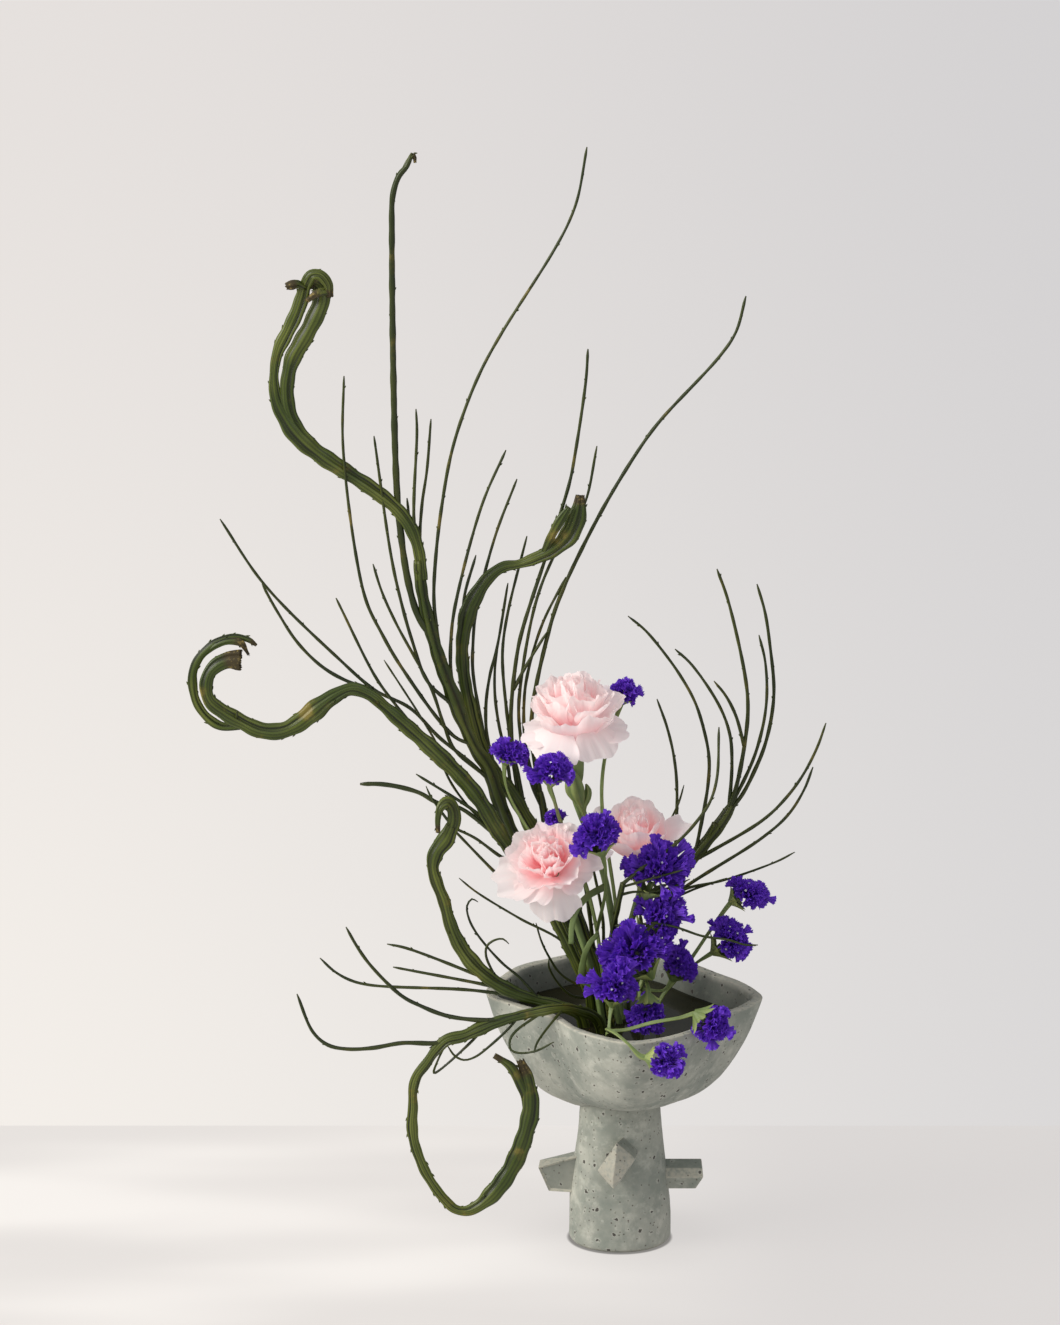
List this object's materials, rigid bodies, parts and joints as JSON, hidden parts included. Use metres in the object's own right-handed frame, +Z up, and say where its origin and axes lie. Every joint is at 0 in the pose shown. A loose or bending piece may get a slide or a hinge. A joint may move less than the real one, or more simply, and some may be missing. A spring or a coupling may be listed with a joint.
{
  "type": "ikebana arrangement",
  "caption": "Asymmetric ikebana: curling crested broom stems, pink carnations and violet statice on a pin holder in a wide footed stoneware bowl with hand-cut lugs.",
  "frame": {"origin": "middle of the vase's flat foot, on the table", "axes": "+Z up along the vase's pedestal; -Y towards the front, the side the arrangement is seen from; +X to the viewer's right, towards the bowl's right corner"},
  "size_m": [0.3845, 0.2193, 0.6789],
  "materials": {
    "stoneware": "matte",
    "water": "gloss",
    "pins": "satin",
    "broom": "satin",
    "stem": "satin",
    "petal": "matte",
    "statice": "matte"
  },
  "bodies": {
    "root": {"vase": "stoneware", "pin_holder": "pins", "water": "water", "broom_tall": "broom", "broom_crested": "broom", "broom_curled": "broom", "broom_low": "broom", "broom_hanging": "broom", "broom_right": "broom", "broom_centre": "broom", "carnation_stem_upper": "stem", "carnation_stem_right": "stem", "carnation_stem_left": "stem", "statice_stem_back": "stem", "statice_stem_left": "stem", "statice_stem_middle": "stem", "statice_stem_right": "stem", "statice_stem_low": "stem", "carnation_bloom_upper": "petal", "carnation_bloom_right": "petal", "carnation_bloom_left": "petal", "statice_head_01": "statice", "statice_head_02": "statice", "statice_head_03": "statice", "statice_head_04": "statice", "statice_head_05": "statice", "statice_head_06": "statice", "statice_head_07": "statice", "statice_head_08": "statice", "statice_head_09": "statice", "statice_head_10": "statice", "statice_head_11": "statice", "statice_head_12": "statice", "statice_head_13": "statice", "statice_head_14": "statice", "statice_head_15": "statice"}
  },
  "joints": []
}
